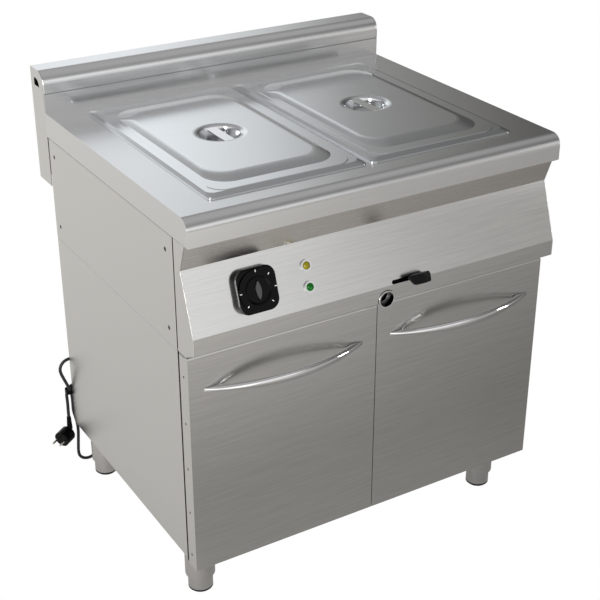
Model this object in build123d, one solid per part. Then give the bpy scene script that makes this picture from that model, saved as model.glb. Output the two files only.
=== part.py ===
"""Free-standing electric bain-marie on a two-door cupboard, in millimetres.

X runs to the right of someone facing the doors, Y runs to the back and Z is up.  The origin is on the
floor, under the middle of the whole object without its power cord.
"""
import os
from math import atan, cos, hypot, pi, radians, sin, tan

from build123d import *

# Cabinet
WIDTH = 800.0              # across the side panels
WORKTOP_Z = 850.0          # worktop above the floor
NOSE_Y = -332.0            # front face of the worktop nose
SHEET = 1.5                # cabinet panels
FLANGE = 20.0              # folded edges of the panels
POST = 30.0                # folded front edges that frame the cupboard
SEAM_GROOVE = 0.8          # visible joints between panels
BODY_SETBACK = 59.5        # nose face to the front edges of the side panels
BODY_BACK = 624.0          # nose face to the back of the cabinet
FRONT_GAP = 3.5            # between the side panels and the fascia ends and doors
UPPER_HEIGHT = 269.5       # heating unit, worktop to its underside
LEG_HEIGHT = 124.0         # floor to the underside of the base unit

# Worktop and splash
TOP_SHEET = 2.0
NOSE_HEIGHT = 50.0
NOSE_ROUND = 22.0
NOSE_RETURN = 15.0
SPLASH_SETBACK = 630.0     # nose face to the front of the splash
SPLASH_DEPTH = 64.0
SPLASH_RISE = 82.0
SPLASH_SEAM = 37.0         # height of the worktop's own upstand
SPLASH_DROP = 157.0        # how far the splash box hangs below the worktop
SPLASH_ROUND = 24.0
SPLASH_LAP = 18.0          # the cap's tongue behind the upstand
VENT_WIDTH = 27.0          # opening in each end of the splash
VENT_HEIGHT = 16.0
VENT_BELOW_TOP = 19.0
VENT_FROM_BACK = 16.0

# Fascia, measured from the nose face and down from the worktop
RECESS_BACK = 34.0         # upper edge of the control panel
RECESS_DROP = 103.5
PANEL_PROUD = 6.0          # lower edge of the control panel, in front of the nose
PANEL_DROP = 218.5
STRIP_HEIGHT = 31.8
LIP_DEPTH = 33.0
LIP_FLANGE = 53.0

# Water well and gastronorm pans
PAN_LENGTH = 530.0         # GN 1/1 rim
PAN_WIDTH = 325.0
PAN_GAP = 7.0              # between the pans' rims
PAN_FROM_NOSE = 59.0       # nose face to the front of the rims
PAN_DEPTH = 150.0
PAN_RIM = 12.5
PAN_RIM_HEIGHT = 2.0       # rolled edge
PAN_RIM_CURVE = 1.2
PAN_RIM_ROUND = 12.0
PAN_CORNER = 38.0
PAN_DRAFT = 5.0            # how much each wall leans in
PAN_SHEET = 1.2
WELL_CLEARANCE = 3.0       # pan wall to well wall
WELL_CORNER = 12.0
WELL_DEPTH = 175.0
WELL_FLANGE = 18.0
BAR_HEIGHT = 12.0          # bar between the pans
LEDGE = 9.0                # brackets that carry the bar
LEDGE_THICKNESS = 3.0

# Lids, in steps from the edge inwards
LID_SHEET = 1.2
LID_MARGIN = 1.5           # how far the lid stays inside the pan rim
LID_EDGE_HEIGHT = 1.0      # turned-down edge
LID_FLANGE = 7.0           # outer part at the sides, which slopes up from the edge
LID_END_FLANGE = 14.5      # and at the front and back
LID_FLANGE_RISE = 2.5
LID_LEDGE = 11.5           # flat between the flange and the crease, at the sides
LID_END_LEDGE = 0.5        # and at the front and back
LID_CREASE = 1.0           # small step up to the shelf
LID_SHELF = 12.0           # flat between the crease and the shoulder, at the sides
LID_END_SHELF = 25.0       # and at the front and back
LID_SHOULDER = 19.0        # width of the plateau's round shoulder at the sides
LID_END_SHOULDER = 37.0    # and at the front and back
LID_END_SOFTNESS = 0.8     # 1 is a plain slope, less bends its upper part over
LID_RISE = 4.5             # plateau above the shelf
LID_ROUND = 11.0
LID_FLANGE_ROUND = 15.0
LID_CREASE_ROUND = 30.0
LID_BASE_ROUND = 48.0      # corners of the shoulder's base
LID_PLATEAU_ROUND = 44.0
SHOULDER_STEPS = 4
DIMPLE_RADIUS = 53.0
DIMPLE_LIP = 3.0           # depth of the flared upper part
DIMPLE_NECK_RADIUS = 40.5  # where the strap is welded in
DIMPLE_FLOOR_RADIUS = 36.0
DIMPLE_DEPTH = 22.0
STRAP_WIDTH = 21.0
STRAP_THICKNESS = 2.5

# Doors
DOOR_SETBACK = 23.0        # nose face to the door fronts
DOOR_THICKNESS = 32.0
DOOR_SHEET = 1.2
DOOR_TOP_GAP = 3.7
DOOR_OVERHANG = 8.0        # below the base unit
DOOR_SIDE_INSET = 0.8
DOOR_MEETING_GAP = 1.4
DOOR_LIP_RISE = 4.0        # raised front of the door's upper edge
DOOR_LIP_DEPTH = 9.0
DOOR_LIP_ROUND = 4.0
LINER_CLEARANCE = 0.1
LINER_FLANGE = 14.0
PIVOT_INSET = 8.0          # pivot from the door's outer edge
PIVOT_FROM_BACK = 10.0
PIN_RADIUS = 4.0
PIN_CLEARANCE = 0.05
PIN_LENGTH = 14.0
PIN_END_GAP = 1.0
BUSH_WALL = 2.0
BUSH_SHOULDER = 0.5
BRACKET_WIDTH = 22.0
BRACKET_THICKNESS = 2.0
BRACKET_REACH = 10.0       # bracket in front of the pivot
BRACKET_DEPTH = 36.0       # bracket behind the panels' front edges
BRACKET_FOOT = 8.0
DOOR_SEAT_GAP = 0.3
HANDLE_LENGTH = 338.0
HANDLE_DROP = 342.0        # worktop to the middle of the handle's tips
HANDLE_REACH = 46.0
HANDLE_RISE = 12.5         # upper edge of the bow's middle, above the tips' middle
HANDLE_SAG = 5.5           # and its lower edge, below
HANDLE_TIP_HEIGHT = 7.0
HANDLE_FOOT = 30.0
HANDLE_BAR = 11.0          # thickness of the bow at its middle
HANDLE_TOP_ROUND = 4.8
HANDLE_BOTTOM_ROUND = 1.8
RAIL_HEIGHT = 36.0
RAIL_DEPTH = 40.0
CATCH_WIDTH = 40.0
CATCH_HEIGHT = 20.0
CATCH_FROM_MIDDLE = 35.0
CATCH_GAP = 0.3

# Legs
LEG_INSET = 50.0           # leg axis from the side panels
LEG_FRONT = 111.0          # nose face to the front legs
LEG_BACK = 584.0           # nose face to the back legs
LEG_RADIUS = 30.0
LEG_WALL = 2.0
LEG_CAP = 4.0
SLEEVE_BOTTOM = 36.0
NUT_HEIGHT = 16.0
FOOT_RADIUS = 25.0
FOOT_GAP = 0.3
STUD_RADIUS = 12.0
STUD_CLEARANCE = 0.05
STUD_TOP_GAP = 12.0
PAD_HEIGHT = 7.0
PAD_ROUND = 3.0

# Control panel
KNOB_X = -269.0
KNOB_SLOPE = 63.0          # down the slope from the panel's upper edge
BEZEL_SIZE = 80.5
BEZEL_CORNER = 20.0
BEZEL_HEIGHT = 13.5
BEZEL_ROUND = 3.0
BEZEL_WELL = 7.0           # depth of the round seat for the knob
DIAL_RADIUS = 37.0
DIAL_THICKNESS = 3.0
KNOB_GAP = 0.3
HUB_RADIUS = 30.0          # the knob's hub, which turns in the bezel's seat
HUB_CLEARANCE = 0.6
DISH_RADIUS = 26.5         # shallow dish round the grip
DISH_FLOOR_RADIUS = 22.0
DISH_DEPTH = 2.2
GRIP_LENGTH = 40.0
GRIP_WIDTH = 18.0
GRIP_TOP_LENGTH = 34.0
GRIP_TOP_WIDTH = 10.5
GRIP_PROUD = 2.0           # above the dial's face
SHAFT_RADIUS = 3.0
SHAFT_CLEARANCE = 0.05
SHAFT_IN_KNOB = 8.5
NECK_RADIUS = 6.0
HOLE_CLEARANCE = 0.3
THERMOSTAT_SIZE = 44.0
THERMOSTAT_DEPTH = 36.0
PILOT_X = -160.5
PILOT_SLOPES = (44.7, 84.0)
COLLAR_RADIUS = 11.0
COLLAR_HEIGHT = 3.0
COLLAR_NECK_RADIUS = 8.0
COLLAR_DEPTH = 22.0
LENS_RADIUS = 7.5
LENS_HEIGHT = 6.0
LENS_STEM_RADIUS = 5.0
LENS_STEM = 14.0
LENS_CLEARANCE = 0.05

# Drain, measured from the nose face and down from the worktop
OUTLET_DROP = 244.7
OUTLET_RADIUS = 18.0
OUTLET_BORE = 14.75
OUTLET_DEPTH = 16.0        # depth of the wide mouth
OUTLET_PROUD = 2.5         # outlet in front of the fascia's lower strip
OUTLET_CLEARANCE = 1.0
PIPE_RADIUS = 13.5
PIPE_WALL = 2.5
PIPE_BEND = 30.0
DRAIN_BACK = 95.0          # drain hole in the well's floor
GATE_FRONT = 17.0
GATE_DEPTH = 16.0
GATE_LEFT = 22.0           # gate body either side of the outlet's axis
GATE_RIGHT = 64.0
GATE_TOP = 24.0            # gate body above the outlet's axis
GATE_FOOT = 3.0
BLADE_THICKNESS = 3.0
BLADE_CLEARANCE = 0.2
BLADE_LEFT = 17.0
BLADE_HOLE_X = 42.0        # the blade's hole from the outlet's axis while the drain is shut
BLADE_RIGHT = 60.0
TANG_LEFT = 46.0
SLOT_LEFT = 12.0           # slot in the control panel
SLOT_RIGHT = 98.0
SLOT_SLOPE = 117.4
SLOT_HEIGHT = 8.0
STEM_X = 65.0              # lever's stem in the slot while the drain is shut
STEM_WIDTH = 14.0
STEM_THICKNESS = 4.5
STEM_REACH = 14.0          # stem in front of the fascia's lower strip
LEVER_OUTLINE = (          # grip: x, distance down the control panel
    (40.5, 114.5), (46.0, 110.5), (81.0, 110.5), (88.0, 115.0), (87.0, 130.0), (52.0, 130.0),
)
LEVER_BACK = 10.0          # grip's back, edges and crest from the control panel
LEVER_EDGE = 17.5
LEVER_CREST = 22.5
LEVER_CREST_X = 70.0

# Heating elements under the well
HEATER_RADIUS = 4.25
HEATER_GAP = 0.3
HEATER_LENGTH = 380.0
HEATER_PITCH = 70.0
HEATER_BEND = 30.0

# Screws in the upper side panels
SCREW_RADIUS = 4.5
SCREW_SHANK_RADIUS = 2.5
SCREW_LENGTH = 8.0
SCREW_CLEARANCE = 0.05
SCREW_SOCKET_RADIUS = 2.2
SCREW_SOCKET_DEPTH = 0.9
SCREW_DROPS = (84.0, 237.0)
SCREW_SETBACKS = (89.0, 600.0)

# Power connection
BOX_WIDTH = 60.0
BOX_DEPTH = 36.0
BOX_HEIGHT = 60.0
BOX_EDGE_X = -369.0        # the box's side towards the cord
CORD_RADIUS = 3.5
GLAND_NUT = 7.0
GLAND_RADIUS = 7.5
GLAND_TIP_RADIUS = 5.5
CORD_ROUTE = (             # x, distance behind the nose face, height
    (-389.0, 632.0, 283.0), (-405.0, 632.0, 283.0), (-417.8, 631.6, 273.2),
    (-422.3, 631.2, 257.7), (-412.0, 630.2, 230.0), (-400.0, 629.5, 198.5),
    (-399.5, 629.5, 172.0), (-400.0, 630.0, 149.0), (-394.0, 630.5, 124.0),
    (-391.5, 631.0, 98.0), (-394.0, 632.0, 64.0), (-396.3, 633.0, 30.0),
    (-387.5, 633.5, 16.0), (-372.0, 634.0, 10.2), (-356.2, 634.5, 15.2),
    (-346.8, 635.0, 28.8), (-348.5, 636.0, 60.0), (-353.0, 637.5, 100.0),
    (-356.5, 639.0, 138.0), (-358.6, 640.5, 168.0), (-359.2, 641.0, 195.2),
    (-369.0, 641.3, 208.0), (-384.5, 641.5, 212.4), (-399.7, 641.3, 207.0),
    (-408.6, 641.0, 193.6), (-407.6, 640.5, 170.0), (-408.3, 640.0, 148.0), (-408.3, 640.0, 131.0),
)
TIE_CENTRE = (-402.8, 635.5, 200.5)
TIE_OPENING = (15.5, 18.8)
TIE_HEIGHT = 9.0
TIE_WALL = 1.2
TIE_CLEARANCE = 0.25
RELIEF_LENGTH = 31.0
RELIEF_RADIUS = 6.5
MAINS_PLUG_RADIUS = 18.0
MAINS_PLUG_LENGTH = 30.0
MAINS_PLUG_ROUND = 5.0
MAINS_PLUG_OFFSET = (-13.0, -3.0, -45.0)   # middle of the plug from the end of the cord
MAINS_PLUG_AXIS = (-0.84, -0.52, -0.12)
MAINS_PIN_RADIUS = 2.4
MAINS_PIN_LENGTH = 19.0
MAINS_PIN_SPACING = 19.0

# Places that several pieces share
HALF = WIDTH / 2
INSIDE = HALF - SHEET
UPPER_Z = WORKTOP_Z - UPPER_HEIGHT
TRAY_TOP = UPPER_Z + SHEET
SKIRT_Z = WORKTOP_Z - NOSE_HEIGHT
BODY_Y0 = NOSE_Y + BODY_SETBACK
BODY_Y1 = NOSE_Y + BODY_BACK
SPLASH_Y0 = NOSE_Y + SPLASH_SETBACK
SPLASH_Y1 = SPLASH_Y0 + SPLASH_DEPTH
SPLASH_TOP = WORKTOP_Z + SPLASH_RISE
FASCIA_BACK = BODY_Y0 - FRONT_GAP
PANEL_RUN = RECESS_BACK + PANEL_PROUD
PANEL_FALL = PANEL_DROP - RECESS_DROP
PANEL_LENGTH = hypot(PANEL_RUN, PANEL_FALL)
PANEL_TOP = (NOSE_Y + RECESS_BACK, WORKTOP_Z - RECESS_DROP)
STRIP_Y = NOSE_Y - PANEL_PROUD
STRIP_BOTTOM = WORKTOP_Z - PANEL_DROP - STRIP_HEIGHT
PAN_SPACING = PAN_WIDTH + PAN_GAP
PAN_X = PAN_SPACING / 2
PAN_Y = NOSE_Y + PAN_FROM_NOSE + PAN_LENGTH / 2
PAN_BODY_W = PAN_WIDTH - 2 * PAN_RIM
PAN_BODY_L = PAN_LENGTH - 2 * PAN_RIM
WELL_W = PAN_SPACING + PAN_BODY_W + 2 * WELL_CLEARANCE
WELL_L = PAN_BODY_L + 2 * WELL_CLEARANCE
WELL_FLOOR = WORKTOP_Z - WELL_DEPTH
WELL_FRONT = PAN_Y - WELL_L / 2
BAR_W = PAN_SPACING - PAN_BODY_W - 2 * WELL_CLEARANCE
RIM_TOP = WORKTOP_Z + PAN_RIM_HEIGHT
LID_EDGE_Z = RIM_TOP + LID_EDGE_HEIGHT
LID_FLANGE_Z = LID_EDGE_Z + LID_FLANGE_RISE
LID_SHELF_Z = LID_FLANGE_Z + LID_CREASE
PLATEAU_Z = LID_SHELF_Z + LID_RISE
DOOR_Y0 = NOSE_Y + DOOR_SETBACK
DOOR_Y1 = DOOR_Y0 + DOOR_THICKNESS
DOOR_Z0 = LEG_HEIGHT - DOOR_OVERHANG
DOOR_Z1 = UPPER_Z - DOOR_TOP_GAP
DOOR_OUT = HALF - DOOR_SIDE_INSET
DOOR_IN = DOOR_MEETING_GAP / 2
PIVOT_X = DOOR_OUT - PIVOT_INSET
PIVOT_Y = DOOR_Y1 - PIVOT_FROM_BACK
BUSH_RADIUS = PIN_RADIUS + PIN_CLEARANCE + BUSH_WALL
LEG_X = HALF - LEG_INSET
OUTLET_Z = WORKTOP_Z - OUTLET_DROP
DRAIN_Y = NOSE_Y + DRAIN_BACK
GATE_Y0 = NOSE_Y + GATE_FRONT
GATE_Y1 = GATE_Y0 + GATE_DEPTH
BLADE_Y = GATE_Y0 + GATE_DEPTH / 2
PIPE_BORE = PIPE_RADIUS - PIPE_WALL
BEZEL_SEAT = BEZEL_HEIGHT - BEZEL_WELL
STEM_Z = PANEL_TOP[1] - PANEL_FALL * SLOT_SLOPE / PANEL_LENGTH
SIDES = {"left": -1, "right": 1}
CORNERS = {"front_left": (-1, LEG_FRONT), "front_right": (1, LEG_FRONT),
           "back_left": (-1, LEG_BACK), "back_right": (1, LEG_BACK)}


def block(x0, x1, y0, y1, z0, z1):
    """Solid between two opposite corners, in either order."""
    size = Box(abs(x1 - x0), abs(y1 - y0), abs(z1 - z0))
    return Pos((x0 + x1) / 2, (y0 + y1) / 2, (z0 + z1) / 2) * size


def rod(x, y, z0, z1, radius):
    """Upright cylinder."""
    return Pos(x, y, (z0 + z1) / 2) * Cylinder(radius, abs(z1 - z0))


def rod_along_y(x, z, y0, y1, radius):
    """Cylinder lying front to back."""
    return Pos(x, (y0 + y1) / 2, z) * Rot(90, 0, 0) * Cylinder(radius, abs(y1 - y0))


def rounded(x, y, width, length, corner, z0, z1):
    """Upright prism with round corners."""
    return Pos(x, y, z0) * extrude(RectangleRounded(width, length, corner), z1 - z0)


def tapered(x, y, low, high):
    """Solid between two rounded rectangles, each given as width, length, corner and height."""
    sections = [Pos(x, y, z) * RectangleRounded(w, l, r) for w, l, r, z in (low, high)]
    return loft(sections, ruled=True)


def across(points, x0, x1):
    """Prism along X from a closed outline of (y, z) points."""
    face = make_face(Polyline(*points, close=True))
    return extrude(Plane.YZ.offset(x0) * face, x1 - x0)


def set_in(points, distance):
    """The same open chain of points, moved to the left of its own direction."""
    normals = []
    for (a0, b0), (a1, b1) in zip(points, points[1:]):
        length = hypot(a1 - a0, b1 - b0)
        normals.append(((b0 - b1) / length, (a1 - a0) / length))
    pairs = zip([normals[0]] + normals, normals + [normals[-1]])
    moved = []
    for (a, b), ((m0, m1), (n0, n1)) in zip(points, pairs):
        share = distance / (1 + m0 * n0 + m1 * n1)
        moved.append((a + share * (m0 + n0), b + share * (m1 + n1)))
    return moved


def folded(points, thickness, x0, x1):
    """Sheet along X that follows a chain of (y, z) folds, with its thickness to the left."""
    return across(list(points) + set_in(points, thickness)[::-1], x0, x1)


def on_panel(x, slope):
    """Frame on the control panel: X to the right, Y up the slope and Z straight out."""
    share = slope / PANEL_LENGTH
    y = PANEL_TOP[0] - PANEL_RUN * share
    z = PANEL_TOP[1] - PANEL_FALL * share
    out = (0, -PANEL_FALL / PANEL_LENGTH, PANEL_RUN / PANEL_LENGTH)
    return Plane(origin=(x, y, z), x_dir=(1, 0, 0), z_dir=out)


def drum(radius, z0, z1):
    """Cylinder about the Z axis of a local frame."""
    return Pos(0, 0, (z0 + z1) / 2) * Cylinder(radius, z1 - z0)


# Worktop, well and splash

def worktop():
    shell = block(-HALF, HALF, NOSE_Y, SPLASH_Y0, SKIRT_Z, WORKTOP_Z)
    nose = shell.edges().filter_by(Axis.X).sort_by(lambda e: e.center().Y - e.center().Z)[0]
    shell = fillet(nose, NOSE_ROUND)
    front = NOSE_Y + TOP_SHEET
    side = HALF - TOP_SHEET
    inside = block(-side, side, front, SPLASH_Y0, SKIRT_Z + TOP_SHEET, WORKTOP_Z - TOP_SHEET)
    nose = inside.edges().filter_by(Axis.X).sort_by(lambda e: e.center().Y - e.center().Z)[0]
    inside = fillet(nose, NOSE_ROUND - TOP_SHEET)
    below = block(-side + FLANGE, side - FLANGE, NOSE_Y + NOSE_RETURN, SPLASH_Y0 - FLANGE - TOP_SHEET,
                  SKIRT_Z - TOP_SHEET, SKIRT_Z + 2 * TOP_SHEET)
    upstand = block(-INSIDE, INSIDE, SPLASH_Y0, SPLASH_Y0 + TOP_SHEET, SKIRT_Z, WORKTOP_Z + SPLASH_SEAM)
    well = rounded(0, PAN_Y, WELL_W, WELL_L, WELL_CORNER, WORKTOP_Z - 2 * TOP_SHEET, WORKTOP_Z + TOP_SHEET)
    return shell - inside - below - well + upstand


def well_tank():
    top = WORKTOP_Z - TOP_SHEET
    wide = (WELL_W + 2 * SHEET, WELL_L + 2 * SHEET, WELL_CORNER + SHEET)
    tank = rounded(0, PAN_Y, *wide, WELL_FLOOR - SHEET, top)
    flange = rounded(0, PAN_Y, WELL_W + 2 * WELL_FLANGE, WELL_L + 2 * WELL_FLANGE,
                     WELL_CORNER + WELL_FLANGE, top - SHEET, top)
    water = rounded(0, PAN_Y, WELL_W, WELL_L, WELL_CORNER, WELL_FLOOR, WORKTOP_Z)
    tank = tank + flange - water
    ledge_top = WORKTOP_Z - BAR_HEIGHT
    for end in (-1, 1):
        wall = PAN_Y + end * WELL_L / 2
        tank += block(-BAR_W / 2, BAR_W / 2, wall, wall - end * LEDGE,
                      ledge_top - LEDGE_THICKNESS, ledge_top)
    return tank - rod(0, DRAIN_Y, WELL_FLOOR - 2 * SHEET, WELL_FLOOR + SHEET, PIPE_BORE)


def pan_support_bar():
    half = WELL_L / 2 - HOLE_CLEARANCE
    return block(-BAR_W / 2, BAR_W / 2, PAN_Y - half, PAN_Y + half, WORKTOP_Z - BAR_HEIGHT, WORKTOP_Z)


def splash_cap():
    low = WORKTOP_Z - SPLASH_DROP
    outer = block(-INSIDE, INSIDE, SPLASH_Y0, SPLASH_Y1, low, SPLASH_TOP)
    edge = outer.edges().filter_by(Axis.X).sort_by(lambda e: e.center().Y - e.center().Z)[0]
    outer = fillet(edge, SPLASH_ROUND)
    inner = block(-HALF, HALF, SPLASH_Y0 + TOP_SHEET, SPLASH_Y1 - TOP_SHEET, low - TOP_SHEET,
                  SPLASH_TOP - TOP_SHEET)
    edge = inner.edges().filter_by(Axis.X).sort_by(lambda e: e.center().Y - e.center().Z)[0]
    inner = fillet(edge, SPLASH_ROUND - TOP_SHEET)
    seam = WORKTOP_Z + SPLASH_SEAM
    front = block(-HALF, HALF, SPLASH_Y0 - TOP_SHEET, SPLASH_Y0 + TOP_SHEET, low - TOP_SHEET,
                  seam + SEAM_GROOVE)
    tongue = block(-INSIDE, INSIDE, SPLASH_Y0 + TOP_SHEET, SPLASH_Y0 + 2 * TOP_SHEET, seam - SPLASH_LAP,
                   seam + SEAM_GROOVE + 2 * TOP_SHEET)
    return outer - inner - front + tongue


def splash_end_caps():
    low = WORKTOP_Z - SPLASH_DROP
    vent_back = SPLASH_Y1 - VENT_FROM_BACK
    vent_top = SPLASH_TOP - VENT_BELOW_TOP
    caps = []
    for sign in SIDES.values():
        cap = block(sign * INSIDE, sign * HALF, SPLASH_Y0, SPLASH_Y1, low, SPLASH_TOP)
        edge = cap.edges().filter_by(Axis.X).sort_by(lambda e: e.center().Y - e.center().Z)[0]
        cap = fillet(edge, SPLASH_ROUND)
        vent = block(sign * (INSIDE - SHEET), sign * (HALF + SHEET), vent_back - VENT_WIDTH, vent_back,
                     vent_top - VENT_HEIGHT, vent_top)
        edge = vent.edges().filter_by(Axis.X).sort_by(lambda e: e.center().Y - e.center().Z)[0]
        caps.append(cap - fillet(edge, VENT_HEIGHT * 0.9))
    return caps


# Heating unit: fascia, panels and tray

def fascia_folds():
    """Outer folds of the fascia from under the nose to its bottom flange."""
    lip = (STRIP_Y + LIP_DEPTH, TRAY_TOP)
    return [(NOSE_Y + TOP_SHEET, SKIRT_Z - SHEET), (NOSE_Y + NOSE_RETURN, SKIRT_Z - SHEET), PANEL_TOP,
            (STRIP_Y, WORKTOP_Z - PANEL_DROP), (STRIP_Y, STRIP_BOTTOM), lip,
            (lip[0] + LIP_FLANGE, TRAY_TOP)]


def fascia():
    sheet = folded(fascia_folds(), SHEET, -INSIDE, INSIDE)
    knob = on_panel(KNOB_X, KNOB_SLOPE)
    sheet -= knob * drum(NECK_RADIUS + HOLE_CLEARANCE, -2 * SHEET, SHEET)
    for slope in PILOT_SLOPES:
        sheet -= on_panel(PILOT_X, slope) * drum(COLLAR_NECK_RADIUS + HOLE_CLEARANCE, -2 * SHEET, SHEET)
    slot = extrude(SlotOverall(SLOT_RIGHT - SLOT_LEFT, SLOT_HEIGHT), SHEET, both=True)
    sheet -= on_panel((SLOT_LEFT + SLOT_RIGHT) / 2, SLOT_SLOPE) * Pos(0, 0, -SHEET / 2) * slot
    notch = OUTLET_RADIUS + OUTLET_CLEARANCE
    sheet -= rod_along_y(0, OUTLET_Z, STRIP_Y - SHEET, STRIP_Y + LIP_DEPTH, notch)
    return sheet


def fascia_end_caps():
    folds = fascia_folds()
    top = SKIRT_Z - SEAM_GROOVE
    start = folds[1][0], top
    outline = [start] + folds[2:6] + [(FASCIA_BACK, TRAY_TOP), (FASCIA_BACK, top)]
    return [across(outline, *sorted((sign * INSIDE, sign * HALF))) for sign in SIDES.values()]


def side_panel(sign, z0, z1, top_flange, bottom_flange, post_z):
    """Side sheet with folded edges; the flanges are (lower, upper) heights, the post likewise."""
    panel = block(sign * INSIDE, sign * HALF, BODY_Y0, BODY_Y1, z0, z1)
    fold = sign * (INSIDE - FLANGE)
    back = BODY_Y1 - SHEET
    panel += block(fold, sign * INSIDE, BODY_Y0 + SHEET, back, *top_flange)
    panel += block(fold, sign * INSIDE, BODY_Y0 + LIP_FLANGE, back, *bottom_flange)
    return panel + block(sign * (INSIDE - POST), sign * INSIDE, BODY_Y0, BODY_Y0 + SHEET, *post_z)


def upper_side(sign):
    top = (SKIRT_Z - SHEET, SKIRT_Z)
    bottom = (TRAY_TOP, TRAY_TOP + SHEET)
    post = (TRAY_TOP + SHEET, SKIRT_Z - SHEET - SEAM_GROOVE)
    panel = side_panel(sign, UPPER_Z, SKIRT_Z - SEAM_GROOVE, top, bottom, post)
    for place in side_screw_places(sign):
        panel -= place * screw_hole()
    return panel


def screw_hole():
    """Countersunk hole, run on past both faces of the sheet."""
    past = SHEET / 2
    widening = past * (SCREW_RADIUS - SCREW_SHANK_RADIUS) / SHEET
    inner = Pos(0, 0, -SHEET - past) * Circle(SCREW_SHANK_RADIUS + SCREW_CLEARANCE - widening)
    outer = Pos(0, 0, past) * Circle(SCREW_RADIUS + SCREW_CLEARANCE + widening)
    return loft([inner, outer], ruled=True)


def side_screw_places(sign):
    """Frames on one upper side panel, Z pointing out of the panel."""
    places = [(NOSE_Y + back, WORKTOP_Z - drop) for back in SCREW_SETBACKS for drop in SCREW_DROPS]
    return [Plane(origin=(sign * HALF, y, z), x_dir=(0, 1, 0), z_dir=(sign, 0, 0)) for y, z in places]


def side_screws():
    head = loft([Pos(0, 0, -SHEET) * Circle(SCREW_SHANK_RADIUS), Circle(SCREW_RADIUS)], ruled=True)
    screw = head + drum(SCREW_SHANK_RADIUS, -SCREW_LENGTH, -SHEET)
    screw -= extrude(Pos(0, 0, -SCREW_SOCKET_DEPTH) * RegularPolygon(SCREW_SOCKET_RADIUS, 6), SHEET)
    return [place * screw for sign in SIDES.values() for place in side_screw_places(sign)]


def upper_back():
    return block(-INSIDE, INSIDE, BODY_Y1 - SHEET, BODY_Y1, TRAY_TOP, SKIRT_Z)


def under_tray():
    return block(-INSIDE, INSIDE, BODY_Y0, BODY_Y1, UPPER_Z, TRAY_TOP)


# Base unit

def base_side(sign):
    top = (UPPER_Z - SHEET, UPPER_Z)
    bottom = (LEG_HEIGHT + SHEET, LEG_HEIGHT + 2 * SHEET)
    post = (LEG_HEIGHT + SHEET, UPPER_Z - SHEET - 2 * BRACKET_THICKNESS)
    return side_panel(sign, LEG_HEIGHT, UPPER_Z - SEAM_GROOVE, top, bottom, post)


def base_floor():
    return block(-INSIDE, INSIDE, BODY_Y0, BODY_Y1, LEG_HEIGHT, LEG_HEIGHT + SHEET)


def base_back():
    return block(-INSIDE, INSIDE, BODY_Y1 - SHEET, BODY_Y1, LEG_HEIGHT + SHEET, UPPER_Z)


def base_top_rail():
    half = INSIDE - BRACKET_WIDTH - SEAM_GROOVE
    front = BODY_Y0 + SHEET
    web = block(-half, half, front, front + SHEET, UPPER_Z - RAIL_HEIGHT, UPPER_Z)
    return web + block(-half, half, front, front + RAIL_DEPTH, UPPER_Z - SHEET, UPPER_Z)


def hinge_brackets():
    """Upper and lower door brackets, each with its pivot pin."""
    top = UPPER_Z - SHEET
    plate_z = DOOR_Z0 - DOOR_SEAT_GAP
    y0 = PIVOT_Y - BRACKET_REACH
    foot = BODY_Y0 + FRONT_GAP
    brackets = []
    for sign in SIDES.values():
        x0 = sign * (INSIDE - BRACKET_WIDTH)
        x1 = sign * (INSIDE - SEAM_GROOVE)
        upper = block(x0, x1, y0, BODY_Y0 + BRACKET_DEPTH, top - BRACKET_THICKNESS, top)
        upper += rod(sign * PIVOT_X, PIVOT_Y, DOOR_Z1 - PIN_LENGTH, top - BRACKET_THICKNESS, PIN_RADIUS)
        lower = block(x0, x1, y0, foot + BRACKET_FOOT, plate_z - BRACKET_THICKNESS, plate_z)
        lower += block(x0, x1, foot, foot + BRACKET_FOOT, plate_z - BRACKET_THICKNESS, LEG_HEIGHT)
        lower += rod(sign * PIVOT_X, PIVOT_Y, plate_z, DOOR_Z0 + PIN_LENGTH, PIN_RADIUS)
        brackets += [upper, lower]
    return brackets


def door_catches():
    """Magnetic catches on the front rail, just behind the closed doors."""
    front = DOOR_Y1 + CATCH_GAP
    back = BODY_Y0 + SHEET
    catch = Box(CATCH_WIDTH, back - front, CATCH_HEIGHT)
    y, z = (front + back) / 2, UPPER_Z - RAIL_HEIGHT / 2
    return [Pos(sign * CATCH_FROM_MIDDLE, y, z) * catch for sign in SIDES.values()]


# Doors

def soft_top(box, radius):
    """A box with its upper front edge rounded."""
    upper = box.edges().filter_by(Axis.X).group_by(Axis.Z)[-1]
    return fillet(upper.sort_by(Axis.Y)[:1], radius)


def door_skin(sign):
    x0, x1 = sign * DOOR_IN, sign * DOOR_OUT
    lip_y, lip_z = DOOR_Y0 + DOOR_LIP_DEPTH, DOOR_Z1 + DOOR_LIP_RISE
    middle = (DOOR_Y0 + lip_y) / 2
    shell = block(x0, x1, middle, DOOR_Y1, DOOR_Z0, DOOR_Z1)
    shell += soft_top(block(x0, x1, DOOR_Y0, lip_y, DOOR_Z0, lip_z), DOOR_LIP_ROUND)
    x0, x1 = sign * (DOOR_IN + DOOR_SHEET), sign * (DOOR_OUT - DOOR_SHEET)
    front = DOOR_Y0 + DOOR_SHEET
    floor = DOOR_Z0 + DOOR_SHEET
    shell -= block(x0, x1, middle, DOOR_Y1 + DOOR_SHEET, floor, DOOR_Z1 - DOOR_SHEET)
    hollow = block(x0, x1, front, lip_y - DOOR_SHEET, floor, lip_z - DOOR_SHEET)
    shell -= soft_top(hollow, DOOR_LIP_ROUND - DOOR_SHEET)
    return shell - rod(sign * PIVOT_X, PIVOT_Y, DOOR_Z0 - SHEET, DOOR_Z1 + SHEET, BUSH_RADIUS)


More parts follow.
